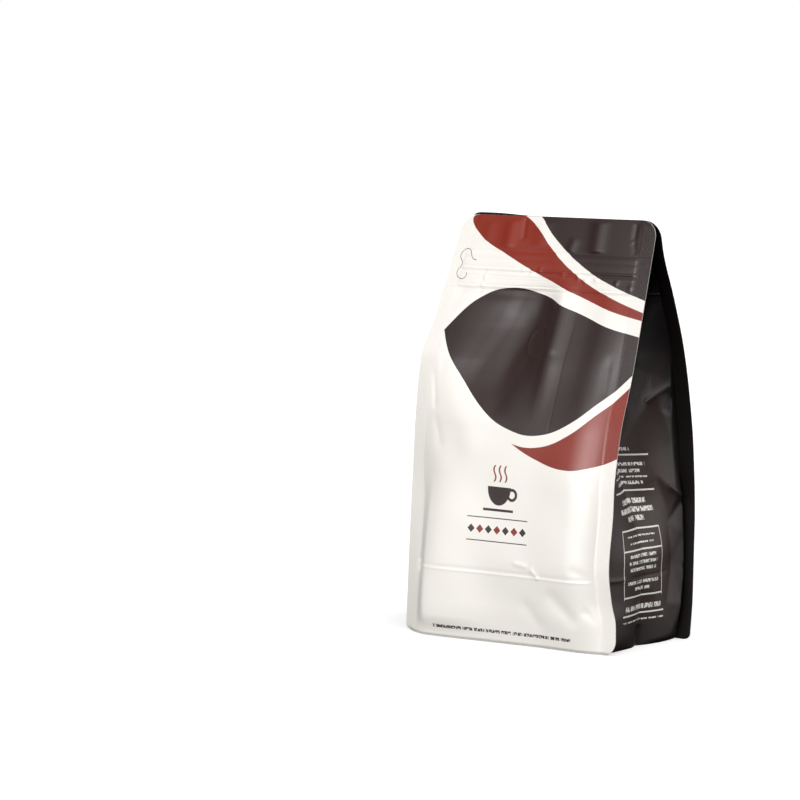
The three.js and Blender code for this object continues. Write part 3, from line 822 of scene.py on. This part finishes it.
# The emblem. Half a width or height is called HALF, half a line's thickness THICK.
EMBLEM_SHIFT = 1.0     # how far left of the middle it stands
CUP_RIM, CUP_HALF, CUP_DEPTH = 81.5, 7.6, 9.5
HANDLE_AT, HANDLE_RADIUS, HANDLE_THICK = (8.4, 77.9), 2.6, 0.75
SAUCER_AT, SAUCER_HALF, SAUCER_THICK = 69.6, 9.6, 0.65
STEAM_AT, STEAM_HALF, STEAM_THICK = 88.2, 4.2, 0.5
STEAM_LINES = (-3.6, 0.0, 3.6)
STEAM_TURNS, STEAM_SWING = 0.75, 0.8   # radians for each millimetre up, and millimetres to each side
RULES_AT, RULE_HALF, RULE_THICK = (65.4, 53.4), 19.0, 0.26
LOZENGE_AT, LOZENGE_HALF, LOZENGE_STEP = 59.4, 2.2, 5.4
LOZENGE_ROW = 3.5 * LOZENGE_STEP       # half the length of a row of seven
# The front's row of small print, and the hatched strip of its zipper.
FOOT_PRINT_AT, FOOT_PRINT_HALF, FOOT_PRINT_THICK = 6.2, 42.0, 0.85
STRIP_AT, STRIP_THICK, STRIP_SHARE = 193.3, 1.9, 0.35


def emblem(paint):
    """A plain cup with steam over a row of lozenges between two rules."""
    x, v = paint.u + EMBLEM_SHIFT, paint.v
    wide, deep = (x * (1 / CUP_HALF)).squared(), ((v - CUP_RIM) * (1 / CUP_DEPTH)).squared()
    bowl = (1.0 - wide - deep) * (CUP_HALF / 2)
    from_handle = ((x - HANDLE_AT[0]).squared() + (v - HANDLE_AT[1]).squared()).op("SQRT")
    handle = HANDLE_THICK - abs(from_handle - HANDLE_RADIUS)
    saucer = (SAUCER_HALF - abs(x)).least(SAUCER_THICK - abs(v - SAUCER_AT))
    cup = greatest([bowl.least(CUP_RIM - v), handle, saucer])
    wave = ((v - (STEAM_AT - STEAM_HALF)) * STEAM_TURNS).sine() * STEAM_SWING
    steam = greatest([STEAM_THICK - abs(x - at - wave) for at in STEAM_LINES])
    steam = steam.least(STEAM_HALF - abs(v - STEAM_AT))
    rules = greatest([RULE_THICK - abs(v - at) for at in RULES_AT]).least(RULE_HALF - abs(x))
    along_row = x + LOZENGE_ROW
    from_middle = abs(along_row.op("FLOORED_MODULO", LOZENGE_STEP) - LOZENGE_STEP / 2)
    lozenge = (LOZENGE_HALF - from_middle - abs(v - LOZENGE_AT)).least(LOZENGE_ROW - abs(x))
    odd = (along_row * (1 / LOZENGE_STEP)).op("FLOOR").op("FLOORED_MODULO", 2.0)
    return [(cup.most(rules).inside(), BROWN), (steam.inside(), RUST), (lozenge.inside(), BROWN),
            (lozenge.inside() * odd, RUST)]


def words(paint, across, phase):
    """Where a row of meaningless marks has ink, in place of small print. The phase moves its gaps."""
    long_wave = (across * 0.83 + phase * 37.0).sine()
    short_wave = (across * 1.9 + phase * 23.0).sine()
    marks = (paint.noise(1.25, 1.0, stretch=(1, 0.5)) - 0.42).inside(0.12)
    return (long_wave + short_wave + 1.4).inside(0.3) * marks


def sealed_fins(paint):
    """Where a panel's fins are."""
    return (abs(paint.u) - (PANEL - 0.2)).inside(SEAL_SOFT)


def front_film():
    paint = Paint("front_film", MATT, PRINT_GLOSS)
    u, v = paint.u, paint.v
    t = (u + HALF) * (1 / WIDTH)
    top_edge, top_end = paint.curve(t, TOP_EDGE), paint.curve(t, TOP_BAND_END)
    field_top, field_end = paint.curve(t, FIELD_TOP), paint.curve(t, FIELD_END)
    low_end = paint.curve(t, LOW_BAND_END)
    top_field = (v - top_edge).inside()
    top_band = (top_edge - TOP_GAP - v).least(v - top_end).inside()
    field = (field_top - v).least(v - field_end).inside()
    low_band = (field_end - LOW_GAP - v).least(v - low_end).inside()
    foot_row = (FOOT_PRINT_THICK - abs(v - FOOT_PRINT_AT)).least(FOOT_PRINT_HALF - abs(u)).inside()
    foot_print = foot_row * words(paint, u, 0.0)
    inks = [(top_field, BROWN), (top_band, RUST), (field, BROWN), (low_band, RUST), (foot_print, BROWN)]
    paint.colour(paint.mix(WHITE, inks + emblem(paint)))
    strip = (STRIP_THICK - abs(v - STRIP_AT)).inside(SEAL_SOFT) * STRIP_SHARE
    paint.satin(sealed_fins(paint).most(strip))
    return paint.material


# Rows of print on the side: (height, half width, thickness, where its gaps fall), and rules without gaps.
HIGH_LINES = [(100, 9, 2.2, 0.1), (92, 16, 1.5, 0.3), (89, 13, 1.5, 0.5), (86, 16, 1.5, 0.7),
              (83, 13, 1.5, 0.9), (74, 12, 2.4, 0.2), (70, 16, 2.4, 0.45), (65.4, 8, 2.4, 0.6)]
LOW_LINES = [(57, 13, 1.5, 0.8), (53.6, 11, 1.5, 0.15), (47, 12, 1.5, 0.35), (43.6, 13, 1.5, 0.55),
             (40.3, 12, 1.5, 0.75), (33.6, 14, 1.5, 0.95), (30.2, 7, 1.5, 0.25), (20.4, 17, 2.4, 0.4),
             (13.8, 20, 1.2, 0.65)]
SIDE_RULES = [(97, 19, 0.4, 0), (79, 19, 0.4, 0), (60.5, 17.7, 0.5, 0), (50, 17.7, 0.5, 0),
              (37, 17.7, 0.5, 0), (26.2, 17.7, 0.5, 0), (17, 20, 0.4, 0)]
WIDEST_ROW = 40.0
SIDE_SHIFT = 1.5       # how far the side's print stands from its middle fold, to the front
# The plain frame round the side's lower rows.
FRAME_AT, FRAME_TALL, FRAME_HALF, FRAME_THICK = 43.3, 17.5, 17.6, 0.25
# Where painted shade starts to darken the side's brown, and over how far: up to the top, back to the fin,
# down to the foot.
SHADE_UP, SHADE_BACK, SHADE_DOWN = (112.0, 50.0), (22.0, 18.0), (36.0, 48.0)


def rows_of(paint, across, rows):
    """Level rows: a mask of them, and each row's own phase."""
    node = paint.add("ShaderNodeValToRGB", {"Fac": paint.v * (1 / HEIGHT)})
    ramp = node.color_ramp
    ramp.interpolation = "CONSTANT"
    stops = [(0.0, 0.0, 0.0)]
    for height, half, thick, phase in sorted(rows):
        stops.append(((height - thick / 2) / HEIGHT, half / WIDEST_ROW, phase))
        stops.append(((height + thick / 2) / HEIGHT, 0.0, 0.0))
    while len(ramp.elements) < len(stops):
        ramp.elements.new(1.0)
    for element, (at, value, phase) in zip(ramp.elements, stops):
        element.position = at
        element.color = (value, phase, 0, 1)
    split = paint.add("ShaderNodeSeparateColor", {"Color": node.outputs["Color"]})
    mask = (Field(paint, split.outputs["Red"]) * WIDEST_ROW - abs(across)).inside()
    return mask, Field(paint, split.outputs["Green"])


def side_film():
    paint = Paint("side_film", MATT, SIDE_GLOSS)
    across = paint.u + SIDE_SHIFT
    upright = FRAME_THICK - abs(abs(across) - FRAME_HALF)
    frame_sides = upright.least(FRAME_TALL - abs(paint.v - FRAME_AT)).inside()
    print_mask = rows_of(paint, across, SIDE_RULES)[0].most(frame_sides)
    for rows in (HIGH_LINES, LOW_LINES):
        lines, phase = rows_of(paint, across, rows)
        print_mask = print_mask.most(lines * words(paint, across, phase))
    # Painted shade: the side's brown is painted darker into its deep top fold, towards its back fin and
    # towards its foot.
    up = (paint.v - SHADE_UP[0]) * (1 / SHADE_UP[1])
    back = (paint.u - SHADE_BACK[0]) * (1 / SHADE_BACK[1])
    down = (SHADE_DOWN[0] - paint.v) * (1 / SHADE_DOWN[1])
    painted_shade = paint.add("ShaderNodeMapRange", {"Value": greatest([up, back, down])},
                          interpolation_type="SMOOTHSTEP")
    inks = [(painted_shade.outputs["Result"], GUSSET_PAINTED_SHADE), (print_mask, WHITE)]
    paint.colour(paint.mix(GUSSET_BROWN, inks))
    paint.satin()
    return paint.material


def back_film():
    paint = Paint("back_film", MATT, PRINT_GLOSS)
    paint.colour(paint.mix(GUSSET_BROWN, [(paint.noise(0.03), BACK_BROWN)]))
    paint.satin(sealed_fins(paint))
    return paint.material


def plain_film(name, colour, roughness):
    """A film, a cut edge or a cut's painted shade, of one colour, faintly uneven."""
    paint = Paint(name, roughness, PLAIN_GLOSS)
    darker = tuple(c * 0.86 for c in colour[:3]) + (1.0,)
    paint.colour(paint.mix(colour, [(paint.noise(0.7, 3.0), darker)]))
    paint.satin()
    return paint.material


front_print = front_film()
side_print = side_film()
back_print = back_film()
plain_brown = plain_film("plain_brown_film", INNER_BROWN, INNER_MATT)
cut_edge = plain_film("cut_edge", EDGE_WHITE, EDGE_MATT)
cut_shade_line = plain_film("die_cut_shade", CUT_SHADE_GREY, LINE_MATT)
FINISHES = {front: [front_print, plain_brown, cut_edge], back: [back_print, plain_brown, cut_edge],
            right_gusset: [side_print], left_gusset: [side_print], top_seal: [plain_brown],
            base: [plain_brown], pull_tab: [cut_shade_line]}
for piece, finishes in FINISHES.items():
    for material in finishes:
        piece.data.materials.append(material)

for piece in PIECES:
    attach(piece, "root")
    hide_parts("pouch")

# ---- Floor, light and camera ----
scene = bpy.context.scene
scene.view_settings.view_transform = "Standard"
FLOOR = 12.0           # metres from its middle to its edge
FLOOR_GREY, FLOOR_GLOW, FLOOR_ROUGHNESS = 0.93, 0.3, 0.9
floor_mesh = bpy.data.meshes.new("floor")
floor_corners = [(-FLOOR, -FLOOR, 0), (FLOOR, -FLOOR, 0), (FLOOR, FLOOR, 0), (-FLOOR, FLOOR, 0)]
floor_mesh.from_pydata(floor_corners, [], [(0, 1, 2, 3)])
floor = bpy.data.objects.new("floor", floor_mesh)
scene.collection.objects.link(floor)
floor_material = bpy.data.materials.new("floor")
floor_material.use_nodes = True
floor_shader = floor_material.node_tree.nodes["Principled BSDF"]
floor_shader.inputs["Base Color"].default_value = (FLOOR_GREY, FLOOR_GREY, FLOOR_GREY, 1)
floor_shader.inputs["Roughness"].default_value = FLOOR_ROUGHNESS
floor_shader.inputs["Emission Color"].default_value = (1, 1, 1, 1)
floor_shader.inputs["Emission Strength"].default_value = FLOOR_GLOW
floor_mesh.materials.append(floor_material)
floor.visible_glossy = False
floor.visible_diffuse = False


def towards(azimuth, elevation):
    """A direction: azimuth 0 is in front of the pouch, and 90 to its right."""
    a, e = radians(azimuth), radians(elevation)
    return Vector((sin(a) * cos(e), -cos(a) * cos(e), sin(e)))


# The studio: soft lights low and high in front, low and high at the right, one overhead, and one behind at
# the left, each as (azimuth, elevation, strength). They have no edges. The camera itself sees plain white.
SOFT_LIGHTS = [(12, 8, 7.2), (-12, 8, 2.8), (36, 58, 1.8), (62, 32, 1.3), (-12, 58, 0.8), (-36, 32, 0.3),
               (112, 58, 3.6), (144, 8, 0.8), (112, 8, 1.6), (0, 88, 1.5), (215, 15, 5.0)]
TIGHTNESS = 20.0       # how quickly a light fades away from its middle
world = bpy.data.worlds.new("studio")
scene.world = world
world.use_nodes = True
studio = Nodes(world.node_tree)
ray = studio.add("ShaderNodeTexCoord").outputs["Generated"]
glows = []
for azimuth, elevation, strength in SOFT_LIGHTS:
    aim = studio.add("ShaderNodeVectorMath", {0: ray, 1: towards(azimuth, elevation)},
                     operation="DOT_PRODUCT")
    glows.append(((Field(studio, aim.outputs["Value"]) - 1.0) * TIGHTNESS).op("EXPONENT") * strength)
light = sum(glows[1:], glows[0])
seen = Field(studio, studio.add("ShaderNodeLightPath").outputs["Is Camera Ray"])
studio.feed(world.node_tree.nodes["Background"].inputs["Strength"], light * (1.0 - seen) + seen)
world.node_tree.nodes["Background"].inputs["Color"].default_value = (1, 1, 1, 1)

# The camera stands where a fit to the pouch's corners in the photograph puts it (millimetres, degrees).
CAMERA = {"azimuth": 35.985, "distance": 1607.93, "height": 280.69, "pan": 2.743, "pitch": 5.602}
FOCAL_PIXELS, IMAGE_PIXELS, SENSOR = 3104.4, 800, 36.0
angle, pan, pitch = (radians(CAMERA[key]) for key in ("azimuth", "pan", "pitch"))
camera_data = bpy.data.cameras.new("camera")
camera_data.sensor_width = SENSOR
camera_data.lens = FOCAL_PIXELS / IMAGE_PIXELS * SENSOR
camera = bpy.data.objects.new("camera", camera_data)
camera.location = Vector((sin(angle) * CAMERA["distance"], -cos(angle) * CAMERA["distance"],
                          CAMERA["height"])) * MM
forward = Vector((-sin(angle + pan) * cos(pitch), cos(angle + pan) * cos(pitch), -sin(pitch)))
camera.rotation_euler = forward.to_track_quat("-Z", "Y").to_euler()
scene.collection.objects.link(camera)
scene.camera = camera
